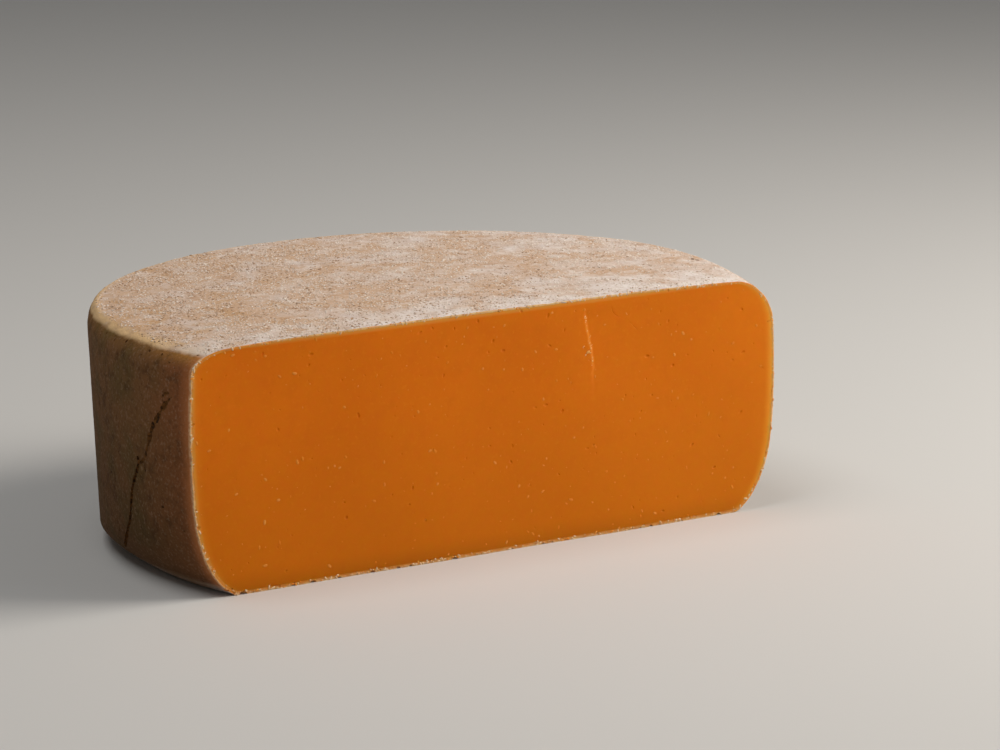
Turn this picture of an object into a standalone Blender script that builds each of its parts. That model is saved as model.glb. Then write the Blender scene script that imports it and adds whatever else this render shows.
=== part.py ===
"""Double Gloucester: a pressed wheel of hard cheese with its front cut away, as one solid.

The wheel is modelled about its upright axis, then one straight cut in front of the axis leaves about
seven tenths of it. Metres, +Z up. The cut face looks along -Y, and the origin ends up at the middle of
the bottom of the cheese's box.
"""

import math
from dataclasses import dataclass

import bmesh
import bpy
from mathutils import Vector

MM = 0.001

# The whole wheel
WHEEL_RADIUS = 160.0 * MM
WHEEL_HEIGHT = 112.4 * MM
SIDE_TAPER = 3.6 * MM       # the foot is this much smaller in radius than the rim
CROWN_RISE = 0.5 * MM       # the top is a little higher in its middle
SHOULDER_DROP = 1.0 * MM    # and falls off a little towards the rim
SHOULDER_POWER = 6          # how near the rim that fall is kept

# The wheel isn't quite round: (waves round the rim, cosine part, sine part)
PLAN_WAVES = ((2, -0.9 * MM, -0.2 * MM), (3, 0.1 * MM, 1.5 * MM))

# The cut
CUT_BEFORE_AXIS = 49.7 * MM
CUT_END_REACH = 0.8         # radians over which the rim's form changes on the way to a cut end

# A tear where the knife came out: the face right of it lies a little deeper
TEAR_TOP_X = 47.5 * MM
TEAR_LEAN = 4.7 * MM        # how far right it has wandered at its lower end
TEAR_LENGTH = 27.0 * MM
TEAR_DEPTH = 0.9 * MM
TEAR_FADE = 55.0 * MM       # the deeper patch comes level again over this distance
TEAR_WIDTH = 0.8 * MM
TEAR_CURVE = 1.5            # it leans more and more on its way down
KNIFE_WAVE = 0.25 * MM      # the slow waviness that the blade leaves
KNIFE_WAVE_LENGTH = 95.0 * MM
KNIFE_WAVE_SLANT = 0.4      # how far the waves lean, across for each unit up

# A crack in the side's rind, in two stretches: (azimuth in degrees, height)
UPPER_CRACK = (
    (196.7, 99.4), (194.2, 91.5), (192.2, 85.8), (190.6, 80.0), (189.0, 74.2), (187.9, 68.0), (186.5, 59.6),
)
LOWER_CRACK = (
    (184.6, 57.6), (183.8, 53.6), (182.3, 46.3), (181.0, 40.0),
    (180.4, 33.6), (179.2, 25.7), (175.5, 14.6), (172.6, 9.0),
)
UPPER_CRACK_SIZE = (3.0 * MM, 1.2 * MM)     # width, depth
LOWER_CRACK_SIZE = (1.5 * MM, 2.0 * MM)
CRACK_END_FULLNESS = 0.15   # of its width and depth, the share left at a stretch's ends
CRACK_BLUNTNESS = 0.6       # under 1 it reaches its full width soon after an end

# How finely the curved surfaces are divided
WHEEL_COLUMNS = 112
CROWN_RINGS = (0.3, 0.6, 0.82, 0.93)    # shares of the top rim's radius
FOOT_RING = 0.5                         # share of the foot rim's radius
CORNER_STEPS = 6
SIDE_STEPS = 7
FACE_COLUMNS_LEFT = 14
FACE_COLUMNS_RIGHT = 8
FACE_ROWS = 10

CLEARANCE = 20.0 * MM       # how far a cutter stands clear of what it cuts


@dataclass(frozen=True)
class RimForm:
    """The rounding of the wheel's two rims, and its side's bulge, at one place round it."""

    top_in: float
    top_down: float
    foot_in: float
    foot_up: float
    bulge: float

    def mixed(self, other, share):
        """This form with a share of another one."""
        return RimForm(*(a + (b - a) * share for a, b in zip(self.values(), other.values())))

    def values(self):
        return self.top_in, self.top_down, self.foot_in, self.foot_up, self.bulge


BACK_RIM = RimForm(5.6 * MM, 11.5 * MM, 18.8 * MM, 9.7 * MM, 0.0)
LEFT_END_RIM = RimForm(19.3 * MM, 10.1 * MM, 15.6 * MM, 38.4 * MM, 3.5 * MM)
RIGHT_END_RIM = RimForm(19.3 * MM, 21.5 * MM, 15.6 * MM, 38.4 * MM, 4.3 * MM)


def eased(share):
    """0 to 1 with a soft start and end."""
    share = min(max(share, 0.0), 1.0)
    return share * share * (3 - 2 * share)


def rim_form(azimuth):
    """The rims' form at an azimuth, which is 0 at +X and runs anticlockwise from above."""
    right_end = -math.asin(CUT_BEFORE_AXIS / WHEEL_RADIUS)
    left_end = math.pi - right_end
    from_left = abs(math.remainder(azimuth - left_end, math.tau))
    from_right = abs(math.remainder(azimuth - right_end, math.tau))
    form = BACK_RIM.mixed(LEFT_END_RIM, eased(1 - from_left / CUT_END_REACH))
    return form.mixed(RIGHT_END_RIM, eased(1 - from_right / CUT_END_REACH))


def wheel_radius(azimuth, height):
    """How far the wheel's surface is from its axis."""
    form = rim_form(azimuth)
    rise = height / WHEEL_HEIGHT
    radius = WHEEL_RADIUS - SIDE_TAPER * (1 - rise) + form.bulge * 4 * rise * (1 - rise)
    for waves, cosine, sine in PLAN_WAVES:
        radius += cosine * math.cos(waves * azimuth) + sine * math.sin(waves * azimuth)
    into_top = (height - (WHEEL_HEIGHT - SHOULDER_DROP - form.top_down)) / form.top_down
    into_foot = (form.foot_up - height) / form.foot_up
    for share, inset in ((into_top, form.top_in), (into_foot, form.foot_in)):
        share = min(max(share, 0.0), 1.0)
        radius -= inset * (1 - math.sqrt(1 - share * share))
    return radius


def profile_heights(form):
    """Heights from the top rim's inner edge down to the foot's, close together where the rims are round."""
    quarter = [math.pi / 2 * step / CORNER_STEPS for step in range(CORNER_STEPS + 1)]
    rim = WHEEL_HEIGHT - SHOULDER_DROP
    heights = [rim - form.top_down * (1 - math.cos(angle)) for angle in quarter]
    side_top, side_foot = rim - form.top_down, form.foot_up
    heights += [side_top + (side_foot - side_top) * step / SIDE_STEPS for step in range(1, SIDE_STEPS)]
    heights += [form.foot_up * (1 - math.sin(angle)) for angle in quarter]
    return heights


def wheel_section(azimuth):
    """(radius, height) points of the wheel's section, from near the top's middle round to the foot."""
    section = []
    rim_radius = wheel_radius(azimuth, WHEEL_HEIGHT - SHOULDER_DROP)
    for share in CROWN_RINGS:
        height = WHEEL_HEIGHT - SHOULDER_DROP * share**SHOULDER_POWER + CROWN_RISE * (1 - share**2)
        section.append((rim_radius * share, height))
    for height in profile_heights(rim_form(azimuth)):
        section.append((wheel_radius(azimuth, height), height))
    section.append((section[-1][0] * FOOT_RING, 0.0))
    return section


def mesh_object(name, shape, material, parent):
    """A new object in the scene with this bmesh as its mesh."""
    mesh = bpy.data.meshes.new(name)
    bmesh.ops.recalc_face_normals(shape, faces=shape.faces)
    shape.to_mesh(mesh)
    shape.free()
    mesh.materials.append(material)
    made = bpy.data.objects.new(name, mesh)
    bpy.context.scene.collection.objects.link(made)
    made.parent = parent
    return made


def surface_finish(name, colour, roughness):
    """A plain Principled material."""
    material = bpy.data.materials.new(name)
    material.use_nodes = True
    shader = material.node_tree.nodes["Principled BSDF"]
    shader.inputs["Base Color"].default_value = (*colour, 1.0)
    shader.inputs["Roughness"].default_value = roughness
    shader.inputs["Metallic"].default_value = 0.0
    return material


def whole_wheel(name, material, parent):
    """The uncut wheel, as a ring of sections closed by a fan at its top and at its foot."""
    shape = bmesh.new()
    columns = []
    for column in range(WHEEL_COLUMNS):
        azimuth = math.tau * column / WHEEL_COLUMNS
        columns.append([
            shape.verts.new((radius * math.cos(azimuth), radius * math.sin(azimuth), height))
            for radius, height in wheel_section(azimuth)
        ])
    top = shape.verts.new((0, 0, WHEEL_HEIGHT + CROWN_RISE))
    foot = shape.verts.new((0, 0, 0))
    for here, after in zip(columns, columns[1:] + columns[:1]):
        shape.faces.new((top, here[0], after[0]))
        shape.faces.new((foot, after[-1], here[-1]))
        for row in range(len(here) - 1):
            shape.faces.new((here[row], here[row + 1], after[row + 1], after[row]))
    made = mesh_object(name, shape, material, parent)
    made.data.shade_smooth()
    made.data.set_sharp_from_angle(angle=math.radians(30))
    return made


def tear_x(height):
    """Where the tear is at a height: it starts at the top and wanders right on the way down."""
    down = min(max((WHEEL_HEIGHT - height) / TEAR_LENGTH, 0.0), 1.0)
    return TEAR_TOP_X + TEAR_LEAN * down**TEAR_CURVE


def face_depth(x, height):
    """How far into the cheese the cut face lies, measured from its flat plane."""
    wave = KNIFE_WAVE * math.sin(math.tau * (x + KNIFE_WAVE_SLANT * height) / KNIFE_WAVE_LENGTH)
    right_of_tear = (x - tear_x(height)) / TEAR_FADE
    below_tear = (WHEEL_HEIGHT - TEAR_LENGTH - height) / TEAR_LENGTH
    step = 0.0
    if right_of_tear > 0:
        step = TEAR_DEPTH * eased(1 - right_of_tear) * eased(1 - below_tear)
    return wave + step


def face_columns(height):
    """The cutter's x positions at a height, with a close pair of them at the tear."""
    reach = WHEEL_RADIUS + CLEARANCE
    tear = tear_x(height)
    left = [-reach + (tear + reach) * step / FACE_COLUMNS_LEFT for step in range(FACE_COLUMNS_LEFT + 1)]
    start = tear + TEAR_WIDTH
    right = [start + (reach - start) * step / FACE_COLUMNS_RIGHT for step in range(FACE_COLUMNS_RIGHT + 1)]
    return left + right


def knife(name, material, parent):
    """The block that the cut takes away. Its back is the cut face, with the tear and the blade's waves."""
    shape = bmesh.new()
    grid = []
    for row in range(FACE_ROWS + 1):
        height = -CLEARANCE + (WHEEL_HEIGHT + 2 * CLEARANCE) * row / FACE_ROWS
        grid.append([
            shape.verts.new((x, -CUT_BEFORE_AXIS + face_depth(x, height), height))
            for x in face_columns(height)
        ])
    for low, high in zip(grid, grid[1:]):
        for i in range(len(low) - 1):
            shape.faces.new((low[i], low[i + 1], high[i + 1], high[i]))
    pulled = bmesh.ops.extrude_face_region(shape, geom=list(shape.faces))
    for item in pulled["geom"]:
        if isinstance(item, bmesh.types.BMVert):
            item.co.y = -WHEEL_RADIUS - CLEARANCE
    return mesh_object(name, shape, material, parent)


def smooth_route(points, steps):
    """Points read from a Catmull-Rom curve through these ones."""
    padded = [points[0], *points, points[-1]]
    route = []
    for i in range(1, len(padded) - 2):
        before, start, end, after = (Vector(point) for point in padded[i - 1:i + 3])
        for step in range(steps):
            t = step / steps
            straight = (end - before) * t
            bend = (2 * before - 5 * start + 4 * end - after) * t**2
            turn = (3 * start - before - 3 * end + after) * t**3
            route.append(start + (straight + bend + turn) / 2)
    route.append(Vector(points[-1]))
    return route


def crack_cutter(name, stretch, size, material, parent):
    """A long thin wedge that follows one stretch of the crack and comes to nothing at both its ends."""
    width, depth = size
    shape = bmesh.new()
    route = smooth_route([(math.radians(azimuth), height * MM) for azimuth, height in stretch], steps=2)
    places = []
    for azimuth, height in route:
        outward = Vector((math.cos(azimuth), math.sin(azimuth), 0))
        places.append((outward * wheel_radius(azimuth, height) + Vector((0, 0, height)), outward))
    rings = []
    for i, (place, outward) in enumerate(places):
        along = places[min(i + 1, len(places) - 1)][0] - places[max(i - 1, 0)][0]
        across = along.cross(outward).normalized()
        middle = math.sin(math.pi * (i + 0.5) / len(places)) ** CRACK_BLUNTNESS
        fullness = CRACK_END_FULLNESS + (1 - CRACK_END_FULLNESS) * middle
        half, deep = width / 2 * fullness, depth * fullness
        corners = (
            place - outward * deep,
            place + across * half,
            place + outward * depth,
            place - across * half,
        )
        rings.append([shape.verts.new(corner) for corner in corners])
    for here, after in zip(rings, rings[1:]):
        for i in range(len(here)):
            j = (i + 1) % len(here)
            shape.faces.new((here[i], here[j], after[j], after[i]))
    shape.faces.new(rings[0][::-1])
    shape.faces.new(rings[-1])
    return mesh_object(name, shape, material, parent)


def cut_with(target, cutter):
    """Cuts a helper out of the target, and keeps the helper out of the render."""
    modifier = target.modifiers.new(cutter.name, "BOOLEAN")
    modifier.operation = "DIFFERENCE"
    modifier.solver = "EXACT"
    modifier.material_mode = "TRANSFER"
    modifier.object = cutter
    cutter.hide_render = True
    cutter.display_type = "WIRE"


def stand_on_origin(cheese, stand):
    """Moves the stand so that the middle of the bottom of the cheese's box is at the origin."""
    bpy.context.view_layer.update()
    evaluated = cheese.evaluated_get(bpy.context.evaluated_depsgraph_get())
    mesh = evaluated.to_mesh()
    corners = [evaluated.matrix_world @ vertex.co for vertex in mesh.vertices]
    low = Vector(map(min, zip(*corners)))
    high = Vector(map(max, zip(*corners)))
    evaluated.to_mesh_clear()
    stand.location = (-(low.x + high.x) / 2, -(low.y + high.y) / 2, -low.z)


def build():
    """Clears the scene and makes the cheese."""
    for item in list(bpy.data.objects):
        bpy.data.objects.remove(item)
    rind = surface_finish("natural_rind", (0.46, 0.33, 0.23), 0.85)
    paste = surface_finish("annatto_paste", (0.55, 0.17, 0.02), 0.5)
    stand = bpy.data.objects.new("wheel_axis", None)
    bpy.context.scene.collection.objects.link(stand)

    cheese = whole_wheel("cut_cheese_wheel", rind, stand)
    cheese.data.materials.append(paste)
    cut_with(cheese, knife("knife", paste, stand))
    cut_with(cheese, crack_cutter("upper_crack", UPPER_CRACK, UPPER_CRACK_SIZE, rind, stand))
    cut_with(cheese, crack_cutter("lower_crack", LOWER_CRACK, LOWER_CRACK_SIZE, rind, stand))
    stand_on_origin(cheese, stand)


build()
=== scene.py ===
"""A wheel of Double Gloucester with its front cut away: paste, natural rind, crack, tear and crumbs.

The wheel is pressed, then cut. Geometry Nodes press the wheel from its sizes, roughen its rind, shape the
knife's path, run the crack along its route and scatter pits, specks, mould and crumbs. Lengths are in metres,
except those whose names end in _mm.
"""

import logging
import math
from collections.abc import Callable, Mapping, Sequence
from dataclasses import dataclass, field, fields
from enum import Enum
from typing import Any

import bpy
import numpy as np
from bpy.types import Material, Mesh, NodeSocket, NodeTree, Object
from mathutils import Matrix, Vector


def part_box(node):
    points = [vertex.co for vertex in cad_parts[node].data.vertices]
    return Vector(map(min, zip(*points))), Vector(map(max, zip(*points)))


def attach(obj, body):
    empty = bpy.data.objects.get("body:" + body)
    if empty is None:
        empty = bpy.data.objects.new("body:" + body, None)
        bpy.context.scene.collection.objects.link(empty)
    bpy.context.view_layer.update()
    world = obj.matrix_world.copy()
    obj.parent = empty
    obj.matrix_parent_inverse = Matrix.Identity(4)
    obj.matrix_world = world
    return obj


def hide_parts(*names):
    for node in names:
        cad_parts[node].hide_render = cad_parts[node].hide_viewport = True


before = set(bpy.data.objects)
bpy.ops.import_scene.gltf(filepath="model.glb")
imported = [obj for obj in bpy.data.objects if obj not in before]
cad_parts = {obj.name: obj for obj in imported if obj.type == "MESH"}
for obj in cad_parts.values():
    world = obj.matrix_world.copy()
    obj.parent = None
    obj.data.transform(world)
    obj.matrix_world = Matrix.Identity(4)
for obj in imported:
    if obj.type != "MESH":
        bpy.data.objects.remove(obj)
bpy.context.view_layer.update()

MM = 0.001
NODE = "cut_cheese_wheel"
BODY = "root"
PLACE = "GeometryNodeInputPosition"
FACING = "GeometryNodeInputNormal"
KEPT = "GeometryNodeInputNamedAttribute"
NEAR_CUT = 35.0 * MM

Spot = tuple[float, float]

log = logging.getLogger("cheese")


# Node trees


@dataclass(frozen=True)
class Wire:
    """What comes out of a node. Numbers on wires are added, multiplied and compared like plain ones."""

    socket: NodeSocket

    def output(self, name: str | int) -> "Wire":
        """Another output of the same node."""
        return Wire(self.socket.node.outputs[name])

    def worked(self, operation: str, *others: "Wire | float", first: float | None = None) -> "Wire":
        """Applies one of Blender's math operations.

        Args:
            operation: The operation's name.
            *others: The numbers that come after this one.
            first: The number that comes before it, where there is one.

        Returns:
            The result.
        """
        numbers = [self, *others] if first is None else [first, self]
        return add_node(self.socket.id_data, "ShaderNodeMath", dict(enumerate(numbers)), operation=operation)

    def __add__(self, other: "Wire | float") -> "Wire":
        """The sum."""
        return self.worked("ADD", other)

    def __sub__(self, other: "Wire | float") -> "Wire":
        """The difference."""
        return self.worked("SUBTRACT", other)

    def __rsub__(self, other: float) -> "Wire":
        """The difference with a plain number first."""
        return self.worked("SUBTRACT", first=other)

    def __mul__(self, other: "Wire | float") -> "Wire":
        """The product."""
        return self.worked("MULTIPLY", other)

    def __truediv__(self, other: "Wire | float") -> "Wire":
        """The quotient, which is 0 where the divisor is."""
        return self.worked("DIVIDE", other)

    def __rtruediv__(self, other: float) -> "Wire":
        """The quotient with a plain number first."""
        return self.worked("DIVIDE", first=other)

    def __pow__(self, power: float) -> "Wire":
        """The power, of a number that isn't negative."""
        return self.worked("POWER", power)

    __radd__ = __add__
    __rmul__ = __mul__

    def clipped(self) -> "Wire":
        """The number kept between 0 and 1."""
        return self.worked("MAXIMUM", 0.0).worked("MINIMUM", 1.0)

    def eased(self) -> "Wire":
        """The number kept between 0 and 1, with a soft start and end."""
        share = self.clipped()
        return share * share * (3 - 2 * share)

    def above(self, limit: "Wire | float") -> "Wire":
        """1 where the number is above a limit, and 0 elsewhere."""
        return self.worked("GREATER_THAN", limit)

    def below(self, limit: "Wire | float") -> "Wire":
        """1 where the number is below a limit, and 0 elsewhere."""
        return self.worked("LESS_THAN", limit)

    def chosen(self, if_one: "Wire | float", if_zero: "Wire | float") -> "Wire":
        """One value where this number is 1, and another where it is 0."""
        return self * if_one + (1 - self) * if_zero


def add_node(
    tree: NodeTree, kind: str, links: Mapping[str | int, Any] | None = None, **settings: Any
) -> Wire:
    """Adds a node with its settings, and fills its inputs.

    Args:
        tree: The tree that gets the node.
        kind: Blender's name of the node's type.
        links: What each input, by name or number, is linked or set to.
        **settings: The node's own properties.

    Returns:
        The node's first output.
    """
    node = tree.nodes.new(kind)
    for name, value in settings.items():
        setattr(node, name, value)
    for name, value in (links or {}).items():
        if isinstance(value, Wire):
            tree.links.new(value.socket, node.inputs[name])
        else:
            node.inputs[name].default_value = value
    return Wire(node.outputs[0])


@dataclass
class Recipe:
    """A Geometry Nodes tree in the making: its named inputs, and how its result becomes a plain mesh."""

    name: str
    tree: NodeTree = field(init=False)
    carrier: Wire = field(init=False)
    values: dict[str, Any] = field(init=False, default_factory=dict)

    def __post_init__(self) -> None:
        """Makes the empty tree with its geometry in and out."""
        self.tree = bpy.data.node_groups.new(self.name, "GeometryNodeTree")
        for way in ("INPUT", "OUTPUT"):
            self.tree.interface.new_socket(name="Geometry", in_out=way, socket_type="NodeSocketGeometry")
        self.carrier = add_node(self.tree, "NodeGroupInput")

    def setting(self, name: str, value: float | int | Material) -> Wire:
        """Adds a named input to the tree.

        Args:
            name: The input's name.
            value: What the modifier sets it to.

        Returns:
            The input.
        """
        kinds = {float: "NodeSocketFloat", int: "NodeSocketInt", Material: "NodeSocketMaterial"}
        socket = self.tree.interface.new_socket(name=name, in_out="INPUT", socket_type=kinds[type(value)])
        self.values[socket.identifier] = value
        return self.carrier.output(name)

    def settings_of(self, sizes: Any, prefix: str = "") -> dict[str, Wire]:
        """Adds one named input for each plain number of a dataclass, with its millimetres turned to metres.

        Args:
            sizes: The dataclass with the numbers.
            prefix: What the inputs' names start with.

        Returns:
            The inputs by the dataclass's field names, without their _mm.
        """
        named = {}
        for entry in fields(sizes):
            value = getattr(sizes, entry.name)
            if isinstance(value, (float, int)):
                name = entry.name.removesuffix("_mm")
                value = value if name == entry.name else value * MM
                named[name] = self.setting(f"{prefix}{name}".replace("_", " ").title(), value)
        return named

    def parts(self, kind: str) -> tuple[Wire, Wire, Wire]:
        """The x, y and z of a vector at the point at hand: its place, or which way the surface faces."""
        parted = add_node(self.tree, "ShaderNodeSeparateXYZ", {0: add_node(self.tree, kind)})
        return parted.output(0), parted.output(1), parted.output(2)

    def noise(self, size: Wire | float, detail: float = 2.0, stretch: Sequence[float] = (1, 1, 1)) -> Wire:
        """Soft noise from 0 to 1 in space.

        Args:
            size: The length of its lumps.
            detail: How many finer layers it has.
            stretch: How much faster it changes along X, Y and Z.

        Returns:
            The noise at the point at hand.
        """
        links = {0: add_node(self.tree, PLACE), 1: stretch}
        scaled = add_node(self.tree, "ShaderNodeVectorMath", links, operation="MULTIPLY")
        links = {"Vector": scaled, "Scale": 1.0 / size, "Detail": detail}
        return add_node(self.tree, "ShaderNodeTexNoise", links)

    def moved(self, geometry: Wire, way: Wire, distance: Wire | float) -> Wire:
        """Moves each point some way along a vector.

        Args:
            geometry: The geometry.
            way: The vector.
            distance: How many times its length the point moves.

        Returns:
            The moved geometry.
        """
        offset = add_node(self.tree, "ShaderNodeVectorMath", {0: way, "Scale": distance}, operation="SCALE")
        return add_node(self.tree, "GeometryNodeSetPosition", {"Geometry": geometry, "Offset": offset})

    def jittered(self, geometry: Wire, size: Wire | float, distance: Wire | float) -> Wire:
        """Moves each point by soft noise in every direction.

        Args:
            geometry: The geometry.
            size: The length of the noise's lumps.
            distance: How far apart the moves are at most.

        Returns:
            The moved geometry.
        """
        noise = add_node(self.tree, "ShaderNodeTexNoise", {"Scale": 1.0 / size, "Detail": 1.0})
        links = {0: noise.output("Color"), 1: (0.5, 0.5, 0.5)}
        way = add_node(self.tree, "ShaderNodeVectorMath", links, operation="SUBTRACT")
        return self.moved(geometry, way, distance)

    def made(
        self, geometry: Wire, finish: Material, carrier: Mesh | None = None
    ) -> Object:
        """Ends the tree, runs it once on a carrier mesh and keeps the result as a plain mesh.

        Args:
            geometry: The tree's last geometry.
            finish: The material that the result gets.
            carrier: The mesh that the tree starts from, where it has one.

        Returns:
            The object with the plain mesh, without modifiers.
        """
        realized = add_node(self.tree, "GeometryNodeRealizeInstances", {0: geometry})
        links = {"Geometry": realized, "Material": self.setting("Finish", finish)}
        last = add_node(self.tree, "GeometryNodeSetMaterial", links)
        self.tree.links.new(last.socket, self.tree.nodes.new("NodeGroupOutput").inputs[0])
        made = linked(self.name, carrier.copy() if carrier else bpy.data.meshes.new(self.name))
        modifier = made.modifiers.new(self.name, "NODES")
        modifier.node_group = self.tree
        for identifier, value in self.values.items():
            modifier[identifier] = value
        settled(made)
        made.data.materials.clear()
        made.data.materials.append(finish)
        made.data.polygons.foreach_set("material_index", np.zeros(len(made.data.polygons), np.int32))
        return made


def linked(name: str, mesh: Mesh) -> Object:
    """Puts a mesh into the scene as a new object."""
    made = bpy.data.objects.new(name, mesh)
    bpy.context.scene.collection.objects.link(made)
    return made


def settled(target: Object) -> Object:
    """Turns an object's modifiers into a plain mesh.

    Args:
        target: The object, with live modifiers.

    Returns:
        The same object, without modifiers.
    """
    bpy.context.view_layer.update()
    evaluated = target.evaluated_get(bpy.context.evaluated_depsgraph_get())
    mesh = bpy.data.meshes.new_from_object(evaluated)
    target.modifiers.clear()
    target.data = mesh
    return target


class Walls(Enum):
    """Whose finish the walls of a cut take."""

    PIECE = "INDEX"
    CUTTER = "TRANSFER"


def carved(target: Object, cutters: Sequence[Object], walls: Walls) -> Object:
    """Cuts closed cutters out of a closed piece, one after the other.

    Args:
        target: The piece.
        cutters: What it loses.
        walls: Whose finish the cut walls take.

    Returns:
        The piece, as a plain mesh.
    """
    for cutter in cutters:
        modifier = target.modifiers.new(cutter.name, "BOOLEAN")
        modifier.operation = "DIFFERENCE"
        modifier.solver = "MANIFOLD"
        modifier.material_mode = walls.value
        modifier.object = cutter
    return settled(target)


def discard(*helpers: Object) -> None:
    """Removes tools and cutters that have done their work."""
    for helper in helpers:
        bpy.data.objects.remove(helper)


def cut_out(cutter: Object, walls: Walls, *pieces: Object) -> None:
    """Cuts one cutter out of some pieces, and throws it away.

    Args:
        cutter: What they lose.
        walls: Whose finish the cut walls take.
        *pieces: The pieces.
    """
    for piece in pieces:
        carved(piece, [cutter], walls)
    discard(cutter)


def corners_of(mesh: Mesh) -> np.ndarray:
    """The mesh's points, one to a row."""
    flat = np.empty(len(mesh.vertices) * 3, np.float32)
    mesh.vertices.foreach_get("co", flat)
    return flat.reshape(-1, 3).astype(float)


def store(mesh: Mesh, **kept: np.ndarray) -> None:
    """Keeps one number for each of the mesh's points under each name, for its materials."""
    for name, values in kept.items():
        mesh.attributes.new(name, "FLOAT", "POINT").data.foreach_set("value", values.astype(np.float32))


# The wheel's form


@dataclass(frozen=True)
class RimForm:
    """How the wheel's rims are rounded, and how far its side swells, at one place round it."""

    top_in: float
    top_down: float
    foot_in: float
    foot_up: float
    bulge: float


@dataclass(frozen=True)
class WheelForm:
    """The sizes of the uncut wheel, about its own upright axis."""

    radius: float = 160.0 * MM
    height: float = 112.4 * MM
    taper: float = 3.6 * MM
    crown: float = 0.5 * MM
    shoulder: float = 1.0 * MM
    oval_across: float = -0.9 * MM
    oval_aslant: float = -0.2 * MM
    three_lobes_across: float = 0.1 * MM
    three_lobes_aslant: float = 1.5 * MM
    cut_before_axis: float = 49.7 * MM
    end_reach: float = 0.8
    back: RimForm = RimForm(5.6 * MM, 11.5 * MM, 18.8 * MM, 9.7 * MM, 0.0)
    left: RimForm = RimForm(19.3 * MM, 10.1 * MM, 15.6 * MM, 38.4 * MM, 3.5 * MM)
    right: RimForm = RimForm(19.3 * MM, 21.5 * MM, 15.6 * MM, 38.4 * MM, 4.3 * MM)

    def rim(self, azimuth: np.ndarray) -> dict[str, np.ndarray]:
        """The rims' rounding at some azimuths, each size by its name."""
        end = math.asin(self.cut_before_axis / self.radius)
        shares = []
        for place in (math.pi + end, -end):
            apart = np.arccos(np.clip(np.cos(azimuth - place), -1, 1))
            share = np.clip(1 - apart / self.end_reach, 0, 1)
            shares.append(share * share * (3 - 2 * share))
        mixed = {}
        for entry in fields(RimForm):
            back = getattr(self.back, entry.name)
            value = back + (getattr(self.left, entry.name) - back) * shares[0]
            mixed[entry.name] = value + (getattr(self.right, entry.name) - back) * shares[1]
        return mixed

    def radius_at(self, azimuth: np.ndarray, height: np.ndarray) -> np.ndarray:
        """How far the side is from the axis.

        Args:
            azimuth: Angles from +X, anticlockwise from above.
            height: Heights above the foot.

        Returns:
            The radii.
        """
        rim = self.rim(azimuth)
        rise = height / self.height
        plan = self.radius + self.oval_across * np.cos(2 * azimuth) + self.oval_aslant * np.sin(2 * azimuth)
        plan += self.three_lobes_across * np.cos(3 * azimuth) + self.three_lobes_aslant * np.sin(3 * azimuth)
        side = plan - self.taper * (1 - rise) + rim["bulge"] * 4 * rise * (1 - rise)
        top = self.height - self.shoulder - rim["top_down"]
        up = np.clip((height - top) / rim["top_down"], 0, 1)
        low = np.clip((rim["foot_up"] - height) / rim["foot_up"], 0, 1)
        return side - rim["top_in"] * (1 - np.sqrt(1 - up**2)) - rim["foot_in"] * (1 - np.sqrt(1 - low**2))

    def on_side(self, azimuth_degrees: float, height_mm: float) -> Vector:
        """A place on the side."""
        azimuth = math.radians(azimuth_degrees)
        reach = float(self.radius_at(np.array(azimuth), np.array(height_mm * MM)))
        return Vector((reach * math.cos(azimuth), reach * math.sin(azimuth), height_mm * MM))

    def on_face(self, x_mm: float, height_mm: float) -> Vector:
        """A place on the cut face."""
        return Vector((x_mm * MM, -self.cut_before_axis, height_mm * MM))

    def on_top(self, x_mm: float, y_mm: float) -> Vector:
        """A place on the top."""
        return Vector((x_mm * MM, y_mm * MM, self.height))

    def axis(self) -> Vector:
        """Where the wheel's axis meets the floor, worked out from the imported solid's box."""
        steps_round, steps_up = 721, 120
        turns = np.linspace(-math.pi, math.pi, steps_round)
        turn, heights = np.meshgrid(turns, np.linspace(0, self.height, steps_up))
        reach = self.radius_at(turn, heights)
        along = reach * np.sin(turn)
        across = (reach * np.cos(turn))[along > -self.cut_before_axis]
        low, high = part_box(NODE)
        return Vector(((low[0] + high[0]) / 2 - (across.max() + across.min()) / 2, high[1] - along.max(), 0))


@dataclass(frozen=True)
class RindRelief:
    """How rough the rind is. Its relief only goes inwards, so the wheel stays inside its form."""

    sink: float = 0.2 * MM
    lump_size: float = 17.0 * MM
    lump_depth: float = 0.35 * MM
    dent_size: float = 6.0 * MM
    dent_depth: float = 0.3 * MM
    dents_above: float = 0.56
    dent_steepness: float = 6.0
    grain_size: float = 2.4 * MM
    grain_depth: float = 0.2 * MM
    foot_fade: float = 2.0 * MM


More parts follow.
